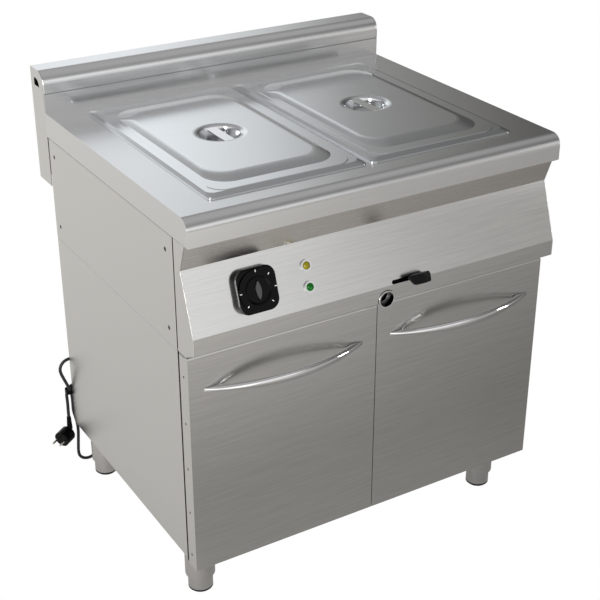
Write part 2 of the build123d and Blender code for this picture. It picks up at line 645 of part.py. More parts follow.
def door_liner(sign):
    gap = DOOR_SHEET + LINER_CLEARANCE
    x0 = sign * (DOOR_IN + gap)
    x1 = sign * (DOOR_OUT - gap)
    z0 = DOOR_Z0 + gap
    z1 = DOOR_Z1 - gap
    tray = block(x0, x1, DOOR_Y1 - LINER_FLANGE, DOOR_Y1, z0, z1)
    inner = block(x0 + sign * DOOR_SHEET, x1 - sign * DOOR_SHEET, DOOR_Y1 - 2 * LINER_FLANGE,
                  DOOR_Y1 - DOOR_SHEET, z0 + DOOR_SHEET, z1 - DOOR_SHEET)
    tray -= inner
    relief = PIVOT_X - BUSH_RADIUS - BUSH_SHOULDER - HOLE_CLEARANCE
    depth = PIN_LENGTH + PIN_END_GAP + HOLE_CLEARANCE
    for edge, inward in ((DOOR_Z0, 1), (DOOR_Z1, -1)):
        tray -= block(sign * relief, sign * HALF, DOOR_Y1 - 2 * LINER_FLANGE, DOOR_Y1 - DOOR_SHEET, edge,
                      edge + inward * depth)
    return tray


def door_bushes(sign):
    """Plain bearings in the door's upper and lower edge."""
    shoulder = BUSH_RADIUS + BUSH_SHOULDER
    depth = PIN_LENGTH + PIN_END_GAP
    bushes = []
    for edge, inward in ((DOOR_Z0, 1), (DOOR_Z1, -1)):
        wall = edge + inward * DOOR_SHEET
        bush = rod(sign * PIVOT_X, PIVOT_Y, edge, wall, BUSH_RADIUS)
        bush += rod(sign * PIVOT_X, PIVOT_Y, wall, edge + inward * depth, shoulder)
        bushes.append(bush - rod(sign * PIVOT_X, PIVOT_Y, edge - inward * SHEET, edge + inward * 2 * depth,
                                 PIN_RADIUS + PIN_CLEARANCE))
    return bushes


def door_handle(sign):
    """Bow handle: a crescent in plan that thins towards its tips, with a rounded front."""
    x = sign * (DOOR_IN + DOOR_OUT) / 2
    z = WORKTOP_Z - HANDLE_DROP
    half = HANDLE_LENGTH / 2
    inner = half - HANDLE_FOOT
    outline = [
        ThreePointArc((x - half, DOOR_Y0), (x, DOOR_Y0 - HANDLE_REACH), (x + half, DOOR_Y0)),
        Line((x + half, DOOR_Y0), (x + inner, DOOR_Y0)),
        ThreePointArc((x + inner, DOOR_Y0), (x, DOOR_Y0 - HANDLE_REACH + HANDLE_BAR), (x - inner, DOOR_Y0)),
        Line((x - inner, DOOR_Y0), (x - half, DOOR_Y0)),
    ]
    crescent = Pos(0, 0, z - 2 * HANDLE_SAG) * extrude(make_face(outline), 2 * (HANDLE_SAG + HANDLE_RISE))
    tip = HANDLE_TIP_HEIGHT / 2
    front = [
        ThreePointArc((x - half, z + tip), (x, z + HANDLE_RISE), (x + half, z + tip)),
        Line((x + half, z + tip), (x + half, z - tip)),
        ThreePointArc((x + half, z - tip), (x, z - HANDLE_SAG), (x - half, z - tip)),
        Line((x - half, z - tip), (x - half, z + tip)),
    ]
    swell = extrude(Plane.XZ.offset(-DOOR_Y0) * make_face(front), 2 * HANDLE_REACH)
    bow = crescent & swell
    for up, radius in ((1, HANDLE_TOP_ROUND), (-1, HANDLE_BOTTOM_ROUND)):
        edges = bow.edges().filter_by(lambda edge: up * (edge.center().Z - z) > 0)
        bow = fillet(edges.sort_by(SortBy.LENGTH)[-1:], radius)
    return bow


# Pans and lids

def pan(sign):
    x = sign * PAN_X
    floor = WORKTOP_Z - PAN_DEPTH

    def section(lean, inset, z):
        narrow = lean + inset
        return PAN_BODY_W - 2 * narrow, PAN_BODY_L - 2 * narrow, PAN_CORNER - narrow, z

    rim = rounded(x, PAN_Y, PAN_WIDTH, PAN_LENGTH, PAN_RIM_ROUND, WORKTOP_Z, RIM_TOP)
    rim = fillet(rim.faces().sort_by(Axis.Z)[-1].edges(), PAN_RIM_CURVE)
    body = tapered(x, PAN_Y, section(PAN_DRAFT, 0, floor), section(0, 0, WORKTOP_Z))
    inside = tapered(x, PAN_Y, section(PAN_DRAFT, PAN_SHEET, floor + PAN_SHEET),
                     section(0, PAN_SHEET, RIM_TOP + PAN_SHEET))
    return rim + body - inside


def lid_mass(sign, shrink):
    """From the pan's rim up to the lid's upper face, or to its lower face with the sheet as shrink."""
    x = sign * PAN_X

    def ring(side, end, corner, z):
        width = PAN_WIDTH - 2 * (LID_MARGIN + side)
        length = PAN_LENGTH - 2 * (LID_MARGIN + end)
        return width, length, corner, z - shrink

    edge = ring(shrink, shrink, LID_ROUND - shrink, LID_EDGE_Z)
    flange = ring(LID_FLANGE, LID_END_FLANGE, LID_FLANGE_ROUND, LID_FLANGE_Z)
    ledge, end_ledge = LID_FLANGE + LID_LEDGE, LID_END_FLANGE + LID_END_LEDGE
    crease = ring(ledge, end_ledge, LID_CREASE_ROUND, LID_FLANGE_Z)
    shelf, end_shelf = ledge + LID_CREASE, end_ledge + LID_CREASE
    mass = rounded(x, PAN_Y, *edge[:3], RIM_TOP - LID_SHEET - shrink, edge[3])
    mass += tapered(x, PAN_Y, edge, flange)
    mass += tapered(x, PAN_Y, crease, ring(shelf, end_shelf, LID_CREASE_ROUND, LID_SHELF_Z))
    steepest = 2 * atan(LID_RISE / LID_SHOULDER)
    radius = LID_SHOULDER / sin(steepest)
    sections = []
    for step in range(SHOULDER_STEPS + 1):
        share = step / SHOULDER_STEPS
        lean = steepest * (1 - share)
        drop = radius * (1 - cos(lean))
        side = shelf + LID_SHELF + LID_SHOULDER - radius * sin(lean)
        end = end_shelf + LID_END_SHELF + LID_END_SHOULDER * (1 - (drop / LID_RISE) ** LID_END_SOFTNESS)
        corner = LID_BASE_ROUND + (LID_PLATEAU_ROUND - LID_BASE_ROUND) * share
        w, l, r, z = ring(side, end, corner, PLATEAU_Z - drop)
        sections.append(Pos(x, PAN_Y, z) * RectangleRounded(w, l, r))
    return mass + loft(sections)


def dimple(sign, grow):
    """Hollow of the lid's dimple, or with the sheet as grow the outside of its bowl."""
    top = PLATEAU_Z - grow
    lip = Vector(DIMPLE_RADIUS + grow, 0, top)
    neck = Vector(DIMPLE_NECK_RADIUS + grow, 0, top - DIMPLE_LIP)
    floor = Vector(DIMPLE_FLOOR_RADIUS + grow, 0, top - DIMPLE_DEPTH)
    flare = TangentArc(lip, neck, tangent=(-1, 0, 0))
    rest = Polyline(neck, floor, (0, 0, floor.Z), (0, 0, top), lip)
    return Pos(sign * PAN_X, PAN_Y, 0) * revolve(make_face([flare, rest]), Axis.Z)


def lid(sign):
    rim = rounded(sign * PAN_X, PAN_Y, PAN_WIDTH, PAN_LENGTH, LID_ROUND, RIM_TOP - 2 * LID_SHEET, RIM_TOP)
    shell = lid_mass(sign, 0) - rim - lid_mass(sign, LID_SHEET)
    return shell + dimple(sign, LID_SHEET) - dimple(sign, 0)


def lid_handle(sign):
    """Flat strap across the lid's dimple, front to back, just below the lid's plateau."""
    x = sign * PAN_X
    top = PLATEAU_Z - DIMPLE_LIP
    slant = (DIMPLE_NECK_RADIUS - DIMPLE_FLOOR_RADIUS) / (DIMPLE_DEPTH - DIMPLE_LIP)
    narrow = DIMPLE_NECK_RADIUS - slant * STRAP_THICKNESS
    fit = loft([Pos(x, PAN_Y, top - STRAP_THICKNESS) * Circle(narrow),
                Pos(x, PAN_Y, top) * Circle(DIMPLE_NECK_RADIUS)], ruled=True)
    strip = block(x - STRAP_WIDTH / 2, x + STRAP_WIDTH / 2, PAN_Y - DIMPLE_RADIUS, PAN_Y + DIMPLE_RADIUS,
                  top - STRAP_THICKNESS, top)
    return fit & strip


# Legs

def leg_sleeves():
    sleeves = []
    for sign, back in CORNERS.values():
        x, y = sign * LEG_X, NOSE_Y + back
        sleeve = rod(x, y, SLEEVE_BOTTOM, LEG_HEIGHT, LEG_RADIUS)
        sleeve -= rod(x, y, SLEEVE_BOTTOM + NUT_HEIGHT, LEG_HEIGHT - LEG_CAP, LEG_RADIUS - LEG_WALL)
        sleeves.append(sleeve - rod(x, y, 0, SLEEVE_BOTTOM + 2 * NUT_HEIGHT, STUD_RADIUS + STUD_CLEARANCE))
    return sleeves


def foot(corner):
    sign, back = CORNERS[corner]
    x, y = sign * LEG_X, NOSE_Y + back
    return (rod(x, y, PAD_HEIGHT, SLEEVE_BOTTOM - FOOT_GAP, FOOT_RADIUS)
            + rod(x, y, SLEEVE_BOTTOM - FOOT_GAP, LEG_HEIGHT - LEG_CAP - STUD_TOP_GAP, STUD_RADIUS))


def foot_pad(corner):
    sign, back = CORNERS[corner]
    pad = rod(sign * LEG_X, NOSE_Y + back, 0, PAD_HEIGHT, FOOT_RADIUS)
    return chamfer(pad.edges().sort_by(Axis.Z)[0], PAD_ROUND)


# Control panel

def knob_bezel():
    plate = extrude(RectangleRounded(BEZEL_SIZE, BEZEL_SIZE, BEZEL_CORNER), BEZEL_HEIGHT)
    plate = fillet(plate.faces().sort_by(Axis.Z)[-1].edges(), BEZEL_ROUND)
    plate -= drum(NECK_RADIUS + HOLE_CLEARANCE, -SHEET, 2 * BEZEL_HEIGHT)
    plate -= drum(HUB_RADIUS + HUB_CLEARANCE, BEZEL_SEAT, 2 * BEZEL_HEIGHT)
    return on_panel(KNOB_X, KNOB_SLOPE) * plate


def thermostat_body():
    middle = -SHEET - THERMOSTAT_DEPTH / 2
    case = Pos(0, 0, middle) * Box(THERMOSTAT_SIZE, THERMOSTAT_SIZE, THERMOSTAT_DEPTH)
    case += drum(NECK_RADIUS, -SHEET, BEZEL_SEAT)
    case -= drum(SHAFT_RADIUS + SHAFT_CLEARANCE, middle, 2 * BEZEL_HEIGHT)
    return on_panel(KNOB_X, KNOB_SLOPE) * case


def thermostat_shaft():
    z0 = -SHEET - THERMOSTAT_DEPTH / 2 + KNOB_GAP
    return on_panel(KNOB_X, KNOB_SLOPE) * drum(SHAFT_RADIUS, z0, BEZEL_SEAT + KNOB_GAP + SHAFT_IN_KNOB)


def knob():
    base = BEZEL_HEIGHT + KNOB_GAP
    face = base + DIAL_THICKNESS
    bottom = BEZEL_SEAT + KNOB_GAP
    floor = face - DISH_DEPTH
    turning = drum(DIAL_RADIUS, base, face) + drum(HUB_RADIUS, bottom, base)
    turning -= loft([Pos(0, 0, floor) * Circle(DISH_FLOOR_RADIUS), Pos(0, 0, face) * Circle(DISH_RADIUS)],
                    ruled=True)

    def leaf(length, width, z):
        tip, side = length / 2, width / 2
        return Pos(0, 0, z) * make_face([ThreePointArc((0, -tip), (side, 0), (0, tip)),
                                         ThreePointArc((0, tip), (-side, 0), (0, -tip))])

    turning += loft([leaf(GRIP_LENGTH, GRIP_WIDTH, floor - DISH_DEPTH),
                     leaf(GRIP_TOP_LENGTH, GRIP_TOP_WIDTH, face + GRIP_PROUD)], ruled=True)
    turning -= drum(SHAFT_RADIUS, bottom - SHEET, bottom + SHAFT_IN_KNOB)
    return on_panel(KNOB_X, KNOB_SLOPE) * turning


def pilot_holders():
    collar = drum(COLLAR_RADIUS, 0, COLLAR_HEIGHT) + drum(COLLAR_NECK_RADIUS, -COLLAR_DEPTH, 0)
    collar -= drum(LENS_STEM_RADIUS + LENS_CLEARANCE, COLLAR_HEIGHT - LENS_STEM, 2 * COLLAR_HEIGHT)
    return [on_panel(PILOT_X, slope) * collar for slope in PILOT_SLOPES]


def pilot_lens(slope):
    """Domed cap on a stem."""
    rise = (LENS_RADIUS ** 2 + LENS_HEIGHT ** 2) / (2 * LENS_HEIGHT)
    ball = Pos(0, 0, COLLAR_HEIGHT + LENS_HEIGHT - rise) * Sphere(rise)
    dome = ball & drum(LENS_RADIUS, COLLAR_HEIGHT, COLLAR_HEIGHT + LENS_HEIGHT)
    stem = drum(LENS_STEM_RADIUS, COLLAR_HEIGHT - LENS_STEM, COLLAR_HEIGHT)
    return on_panel(PILOT_X, slope) * (dome + stem)


# Drain and heating

def bent_tube(path, radius, wall):
    """Round tube along a path, open at both ends."""
    start = Plane(origin=path @ 0, z_dir=path % 0)
    return sweep(start * Circle(radius), path) - sweep(start * Circle(radius - wall), path)


def drain_pipe():
    """From the well's floor down and forward to the gate."""
    points = [(0, DRAIN_Y, WELL_FLOOR - SHEET), (0, DRAIN_Y, OUTLET_Z), (0, GATE_Y1, OUTLET_Z)]
    return bent_tube(FilletPolyline(*points, radius=PIPE_BEND), PIPE_RADIUS, PIPE_WALL)


def gate_body():
    """Two cheeks with a channel between them for the blade, on a foot behind the fascia."""
    bottom = OUTLET_Z - PIPE_RADIUS
    body = block(-GATE_LEFT, GATE_RIGHT, GATE_Y0, GATE_Y1, bottom, OUTLET_Z + GATE_TOP)
    body += block(-GATE_LEFT, GATE_RIGHT, GATE_Y1 - GATE_FOOT, GATE_Y1, TRAY_TOP + SHEET, bottom)
    half = BLADE_THICKNESS / 2 + BLADE_CLEARANCE
    body -= block(-2 * GATE_LEFT, 2 * GATE_RIGHT, BLADE_Y - half, BLADE_Y + half, bottom + GATE_FOOT,
                  OUTLET_Z + 2 * GATE_TOP)
    return body - rod_along_y(0, OUTLET_Z, GATE_Y0 - SHEET, GATE_Y1 + SHEET, PIPE_BORE)


def gate_blade():
    """Sliding blade: its plain part shuts the drain, its hole opens it."""
    half = BLADE_THICKNESS / 2
    y0, y1 = BLADE_Y - half, BLADE_Y + half
    bottom = OUTLET_Z - PIPE_RADIUS + GATE_FOOT + BLADE_CLEARANCE
    blade = block(-BLADE_LEFT, BLADE_RIGHT, y0, y1, bottom, OUTLET_Z + GATE_TOP)
    blade += block(TANG_LEFT, STEM_X + STEM_WIDTH / 2, y0, y1, OUTLET_Z + PIPE_BORE,
                   STEM_Z + STEM_THICKNESS / 2)
    clear = GATE_RIGHT + BLADE_HOLE_X + BLADE_CLEARANCE
    blade -= block(BLADE_RIGHT, clear, y0, y1, bottom, OUTLET_Z + GATE_TOP + BLADE_THICKNESS)
    return blade - rod_along_y(BLADE_HOLE_X, OUTLET_Z, y0 - SHEET, y1 + SHEET, PIPE_BORE)


def drain_lever():
    """Stem that reaches through the slot to the blade, and the faceted grip on its front end."""
    half = STEM_THICKNESS / 2
    stem = block(STEM_X - STEM_WIDTH / 2, STEM_X + STEM_WIDTH / 2, STRIP_Y - STEM_REACH,
                 BLADE_Y - BLADE_THICKNESS / 2, STEM_Z - half, STEM_Z + half)
    outline = [(x, SLOT_SLOPE - slope) for x, slope in LEVER_OUTLINE]
    face = make_face(Polyline(*outline, close=True))
    plan = Pos(0, 0, LEVER_BACK) * extrude(face, LEVER_CREST - LEVER_BACK)
    left = min(x for x, y in outline)
    right = max(x for x, y in outline)
    rise = [(left, LEVER_BACK), (right, LEVER_BACK), (right, LEVER_EDGE), (LEVER_CREST_X, LEVER_CREST),
            (left, LEVER_EDGE)]
    facets = extrude(Plane.XZ * make_face(Polyline(*rise, close=True)), PANEL_LENGTH, both=True)
    return stem + on_panel(0, SLOT_SLOPE) * (plan & facets)


def outlet():
    """Stub from the gate to the front, with a wide mouth."""
    mouth = STRIP_Y - OUTLET_PROUD
    stub = rod_along_y(0, OUTLET_Z, mouth, GATE_Y0, OUTLET_RADIUS)
    stub -= rod_along_y(0, OUTLET_Z, mouth - SHEET, mouth + OUTLET_DEPTH, OUTLET_BORE)
    return stub - rod_along_y(0, OUTLET_Z, mouth, GATE_Y0 + SHEET, PIPE_BORE)


def heating_elements():
    """Two hairpin elements clamped under the well."""
    z = WELL_FLOOR - SHEET - HEATER_GAP - HEATER_RADIUS
    y0 = PAN_Y - HEATER_LENGTH / 2
    y1 = PAN_Y + HEATER_LENGTH / 2
    pins = []
    for sign in SIDES.values():
        middle = sign * PAN_X
        columns = [middle + (k - 1.5) * HEATER_PITCH for k in range(4)]
        points = []
        for k, x in enumerate(columns):
            ends = (y0, y1) if k % 2 == 0 else (y1, y0)
            points += [(x, ends[0], z), (x, ends[1], z)]
        path = FilletPolyline(*points, radius=HEATER_BEND)
        pins.append(sweep(Plane(origin=path @ 0, z_dir=path % 0) * Circle(HEATER_RADIUS), path))
    return pins


# Power connection

def connection_box():
    z = CORD_ROUTE[0][2]
    box = block(BOX_EDGE_X, BOX_EDGE_X + BOX_WIDTH, BODY_Y1, BODY_Y1 + BOX_DEPTH, z - BOX_HEIGHT / 2,
                z + BOX_HEIGHT / 2)
    return fillet(box.edges().filter_by(Axis.Y), BEZEL_ROUND)


def cable_gland():
    x, back, z = CORD_ROUTE[0]
    start = Plane(origin=(BOX_EDGE_X, NOSE_Y + back, z), z_dir=(-1, 0, 0))
    nut = start * drum(GLAND_RADIUS, 0, GLAND_NUT)
    taper = loft([start.offset(GLAND_NUT) * Circle(GLAND_RADIUS - 1.5),
                  start.offset(BOX_EDGE_X - x) * Circle(GLAND_TIP_RADIUS)], ruled=True)
    return nut + taper


def cord_points():
    return [Vector(x, NOSE_Y + back, z) for x, back, z in CORD_ROUTE]


def cord_path():
    """Straight runs joined by arcs as large as the runs allow."""
    points = cord_points()
    radii = []
    for before, at, after in zip(points, points[1:], points[2:]):
        turn = (at - before).get_angle(after - at)
        radii.append(0.45 * min((at - before).length, (after - at).length) / tan(radians(turn / 2)))
    print("cord radii", [round(r, 1) for r in radii])
    return FilletPolyline(*points, radius=radii)


def cord_tube(radius):
    path = cord_path()
    tube = sweep(Plane(origin=path @ 0, z_dir=path % 0) * Circle(radius), path)
    plain = path.length * pi * radius ** 2
    print("cord length", round(path.length, 1), "volume ratio", tube.volume / plain)
    return tube


def power_cord():
    return cord_tube(CORD_RADIUS)


def cord_tie():
    """Band round the two strands where they cross."""
    x, back, z = TIE_CENTRE
    wide, deep = TIE_OPENING
    y = NOSE_Y + back
    corner = wide / 2 - TIE_WALL
    band = rounded(x, y, wide + 2 * TIE_WALL, deep + 2 * TIE_WALL, corner + TIE_WALL, z - TIE_HEIGHT / 2,
                   z + TIE_HEIGHT / 2)
    band -= rounded(x, y, wide, deep, corner, z - TIE_HEIGHT, z + TIE_HEIGHT)
    return band - cord_tube(CORD_RADIUS + TIE_CLEARANCE)


def plug():
    """Angled mains plug: strain relief down to a round body with two pins."""
    end = cord_points()[-1]
    down = (0, 0, -1)
    relief = loft([Plane(origin=end, z_dir=down) * Circle(CORD_RADIUS + TIE_WALL),
                   Plane(origin=end - Vector(0, 0, RELIEF_LENGTH), z_dir=down) * Circle(RELIEF_RADIUS)],
                  ruled=True)
    axis = Vector(*MAINS_PLUG_AXIS).normalized()
    rear = end + Vector(*MAINS_PLUG_OFFSET) - axis * (MAINS_PLUG_LENGTH / 2)
    frame = Plane(origin=rear, x_dir=Vector(0, 0, 1).cross(axis), z_dir=axis)
    body = drum(MAINS_PLUG_RADIUS, 0, MAINS_PLUG_LENGTH)
    body = frame * fillet(body.edges().sort_by(Axis.Z)[0], MAINS_PLUG_ROUND)
    face = frame.offset(MAINS_PLUG_LENGTH)
    pins = [face * Pos(side * MAINS_PIN_SPACING / 2, 0, MAINS_PIN_LENGTH / 2)
            * Cylinder(MAINS_PIN_RADIUS, MAINS_PIN_LENGTH) for side in SIDES.values()]
    return [relief + body] + pins


def build():
    nodes = {
        "worktop": worktop(), "well_tank": well_tank(), "pan_support_bar": pan_support_bar(),
        "splash_cap": splash_cap(), "splash_end_caps": splash_end_caps(),
        "fascia": fascia(), "fascia_end_caps": fascia_end_caps(), "side_screws": side_screws(),
        "upper_back": upper_back(), "under_tray": under_tray(),
        "base_floor": base_floor(), "base_back": base_back(), "base_top_rail": base_top_rail(),
        "hinge_brackets": hinge_brackets(), "door_catches": door_catches(), "leg_sleeves": leg_sleeves(),
        "knob_bezel": knob_bezel(), "thermostat_body": thermostat_body(),
        "thermostat_shaft": thermostat_shaft(), "knob": knob(), "pilot_holders": pilot_holders(),
        "pilot_lens_yellow": pilot_lens(PILOT_SLOPES[0]), "pilot_lens_green": pilot_lens(PILOT_SLOPES[1]),
        "drain_pipe": drain_pipe(), "gate_body": gate_body(), "gate_blade": gate_blade(),
        "drain_lever": drain_lever(), "outlet": outlet(), "heating_elements": heating_elements(),
        "connection_box": connection_box(), "cable_gland": cable_gland(), "power_cord": power_cord(),
        "cord_tie": cord_tie(), "plug": plug(),
    }
    for name, sign in SIDES.items():
        nodes[f"upper_side_{name}"] = upper_side(sign)
        nodes[f"base_side_{name}"] = base_side(sign)
        nodes[f"{name}_door_skin"] = door_skin(sign)
        nodes[f"{name}_door_liner"] = door_liner(sign)
        nodes[f"{name}_door_bushes"] = door_bushes(sign)
        nodes[f"{name}_door_handle"] = door_handle(sign)
        nodes[f"{name}_pan"] = pan(sign)
        nodes[f"{name}_lid"] = lid(sign)
        nodes[f"{name}_lid_handle"] = lid_handle(sign)
    for corner in CORNERS:
        nodes[f"foot_{corner}"] = foot(corner)
        nodes[f"foot_pad_{corner}"] = foot_pad(corner)
    return nodes


def main():
    os.makedirs("parts", exist_ok=True)
    for name, shape in build().items():
        solids = shape if isinstance(shape, list) else [shape]
        export_step(Compound(children=[s for item in solids for s in item.solids()]), f"parts/{name}.step")


main()
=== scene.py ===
"""Looks of a free-standing bain-marie on a two-door cupboard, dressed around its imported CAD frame.

Metres, +X to the right of someone facing the doors, +Y to the back, +Z up from the floor.
"""
import math

import bmesh
import bpy
from mathutils import Matrix, Vector


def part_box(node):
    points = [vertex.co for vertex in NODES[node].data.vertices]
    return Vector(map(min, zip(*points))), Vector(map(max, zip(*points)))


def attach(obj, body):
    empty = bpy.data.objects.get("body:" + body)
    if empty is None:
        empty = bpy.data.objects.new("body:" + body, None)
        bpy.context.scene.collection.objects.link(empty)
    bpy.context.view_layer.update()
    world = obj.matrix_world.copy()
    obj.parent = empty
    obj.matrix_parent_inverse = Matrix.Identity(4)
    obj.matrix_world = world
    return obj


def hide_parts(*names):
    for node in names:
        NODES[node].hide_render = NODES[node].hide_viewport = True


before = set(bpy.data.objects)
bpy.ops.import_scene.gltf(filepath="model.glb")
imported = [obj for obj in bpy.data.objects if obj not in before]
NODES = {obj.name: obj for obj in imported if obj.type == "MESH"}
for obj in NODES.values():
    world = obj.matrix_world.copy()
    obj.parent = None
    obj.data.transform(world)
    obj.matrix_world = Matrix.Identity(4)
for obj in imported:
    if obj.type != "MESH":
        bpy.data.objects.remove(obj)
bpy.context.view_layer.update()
MM = 0.001

# The photograph's camera
CAMERA_PLACE = Vector((-1.2321, -2.0703, 1.6936))
CAMERA_AIM = Vector((0.459244, 0.761545, -0.457324))
LENS = 77.08
SENSOR = 36.0

# The control panel slopes back from its lower edge
PANEL_TOP = Vector((0.0, -0.298, 0.7465))
PANEL_RUN = 0.040
PANEL_FALL = 0.115
PANEL_DOWN = Vector((0.0, -PANEL_RUN, -PANEL_FALL)).normalized()
PANEL_OUT = Vector((0.0, -PANEL_FALL, PANEL_RUN)).normalized()
KNOB_CENTRE = Vector((-0.269, 0.0, 0.0)) + PANEL_TOP + 0.063 * PANEL_DOWN

# Power cord: the route's points, as its solid follows them
CORD_DIAMETER = 0.007
NOSE_Y = -332.0
CORD_ROUTE = (
    (-389.0, 632.0, 283.0), (-405.0, 632.0, 283.0), (-417.8, 631.6, 273.2),
    (-422.3, 631.2, 257.7), (-412.0, 630.2, 230.0), (-400.0, 629.5, 198.5),
    (-399.5, 629.5, 172.0), (-400.0, 630.0, 149.0), (-394.0, 630.5, 124.0),
    (-391.5, 631.0, 98.0), (-394.0, 632.0, 64.0), (-396.3, 633.0, 30.0),
    (-387.5, 633.5, 16.0), (-372.0, 634.0, 10.2), (-356.2, 634.5, 15.2),
    (-346.8, 635.0, 28.8), (-348.5, 636.0, 60.0), (-353.0, 637.5, 100.0),
    (-356.5, 639.0, 138.0), (-358.6, 640.5, 168.0), (-359.2, 641.0, 195.2),
    (-369.0, 641.3, 208.0), (-384.5, 641.5, 212.4), (-399.7, 641.3, 207.0),
    (-408.6, 641.0, 193.6), (-407.6, 640.5, 170.0), (-408.3, 640.0, 148.0), (-408.3, 640.0, 131.0),
)


# Node helpers

def start_material(name):
    """A new material with its node tree, its Principled shader and the coordinates that move with the piece."""
    material = bpy.data.materials.new(name)
    material.use_nodes = True
    tree = material.node_tree
    shader = tree.nodes["Principled BSDF"]
    place = tree.nodes.new("ShaderNodeTexCoord").outputs["Object"]
    return material, tree, shader, place


def stretched(tree, place, sizes):
    """Coordinates divided by a grain size along each axis."""
    mapping = tree.nodes.new("ShaderNodeMapping")
    mapping.inputs["Scale"].default_value = [1 / size for size in sizes]
    tree.links.new(place, mapping.inputs["Vector"])
    return mapping.outputs["Vector"]


def noise(tree, vector, detail=3.0, roughness=0.6):
    """Fractal noise with one cell per unit."""
    node = tree.nodes.new("ShaderNodeTexNoise")
    node.inputs["Scale"].default_value = 1.0
    node.inputs["Detail"].default_value = detail
    node.inputs["Roughness"].default_value = roughness
    tree.links.new(vector, node.inputs["Vector"])
    return node.outputs["Fac"]


def spread(tree, value, low, high, source=(0.3, 0.7)):
    """Maps a noise value onto the range low to high."""
    node = tree.nodes.new("ShaderNodeMapRange")
    node.inputs["From Min"].default_value = source[0]
    node.inputs["From Max"].default_value = source[1]
    node.inputs["To Min"].default_value = low
    node.inputs["To Max"].default_value = high
    tree.links.new(value, node.inputs["Value"])
    return node.outputs["Result"]


def blended(tree, value, dark, light):
    """Mixes two colours by a value from 0 to 1."""
    node = tree.nodes.new("ShaderNodeMix")
    node.data_type = "RGBA"
    node.inputs["A"].default_value = (*dark, 1.0)
    node.inputs["B"].default_value = (*light, 1.0)
    tree.links.new(value, node.inputs["Factor"])
    return node.outputs["Result"]


def bumped(tree, shader, value, strength, depth):
    """Lets a value stand out of the surface."""
    node = tree.nodes.new("ShaderNodeBump")
    node.inputs["Strength"].default_value = strength
    node.inputs["Distance"].default_value = depth
    tree.links.new(value, node.inputs["Height"])
    tree.links.new(node.outputs["Normal"], shader.inputs["Normal"])


def tinted(colour, factor):
    """A colour made lighter or darker."""
    return tuple(channel * factor for channel in colour)


# Materials

def brushed_metal(name, colour, roughness, grain, contrast=0.08, bump=0.06, anisotropy=0.5, tangent="Z"):
    """Rolled or brushed sheet: long streaks along the axis where the grain is longest."""
    material, tree, shader, place = start_material(name)
    streaks = noise(tree, stretched(tree, place, grain), detail=3.0, roughness=0.6)
    share = spread(tree, streaks, 0.0, 1.0)
    tree.links.new(blended(tree, share, tinted(colour, 1 - contrast), tinted(colour, 1 + contrast)),
                   shader.inputs["Base Color"])
    tree.links.new(spread(tree, streaks, roughness * 0.94, roughness * 1.06), shader.inputs["Roughness"])
    shader.inputs["Metallic"].default_value = 1.0
    shader.inputs["Anisotropic"].default_value = anisotropy
    shader.inputs["Anisotropic Rotation"].default_value = 0.25
    direction = tree.nodes.new("ShaderNodeTangent")
    direction.direction_type = "RADIAL"
    direction.axis = tangent
    tree.links.new(direction.outputs["Tangent"], shader.inputs["Tangent"])
    bumped(tree, shader, streaks, bump, 0.0003)
    return material


def polished_metal(name, colour, roughness):
    """Bright metal with faint smears."""
    material, tree, shader, place = start_material(name)
    smears = noise(tree, stretched(tree, place, (0.03, 0.03, 0.03)), detail=4.0)
    share = spread(tree, smears, 0.0, 1.0)
    tree.links.new(blended(tree, share, tinted(colour, 0.96), tinted(colour, 1.03)),
                   shader.inputs["Base Color"])
    tree.links.new(spread(tree, smears, roughness * 0.8, roughness * 1.3), shader.inputs["Roughness"])
    shader.inputs["Metallic"].default_value = 1.0
    return material


def moulded(name, colour, roughness, grain=0.0006, bump=0.05, gloss=0.5):
    """Moulded plastic or rubber with a fine grain."""
    material, tree, shader, place = start_material(name)
    fine = noise(tree, stretched(tree, place, (grain,) * 3), detail=2.0)
    cloudy = noise(tree, stretched(tree, place, (0.02,) * 3), detail=3.0)
    share = spread(tree, cloudy, 0.0, 1.0)
    tree.links.new(blended(tree, share, tinted(colour, 0.85), tinted(colour, 1.15)),
                   shader.inputs["Base Color"])
    tree.links.new(spread(tree, cloudy, roughness * 0.9, roughness * 1.12), shader.inputs["Roughness"])
    shader.inputs["Specular IOR Level"].default_value = gloss
    bumped(tree, shader, fine, bump, 0.0002)
    return material


def lamp_lens(name, colour, glow):
    """Translucent coloured lens, a little lit from inside."""
    material, tree, shader, place = start_material(name)
    facets = noise(tree, stretched(tree, place, (0.003,) * 3), detail=1.0)
    share = spread(tree, facets, 0.0, 1.0)
    tree.links.new(blended(tree, share, tinted(colour, 0.25), tinted(colour, 1.25)),
                   shader.inputs["Base Color"])
    shader.inputs["Roughness"].default_value = 0.1
    shader.inputs["Specular IOR Level"].default_value = 0.2
    shader.inputs["Emission Color"].default_value = (*colour, 1.0)
    shader.inputs["Emission Strength"].default_value = glow
    return material


STEEL = (0.63, 0.625, 0.61)
ALONG_X = (0.10, 0.004, 0.0035)
ALONG_Y = (0.004, 0.10, 0.0035)
ROUND_Z = (0.06, 0.06, 0.004)

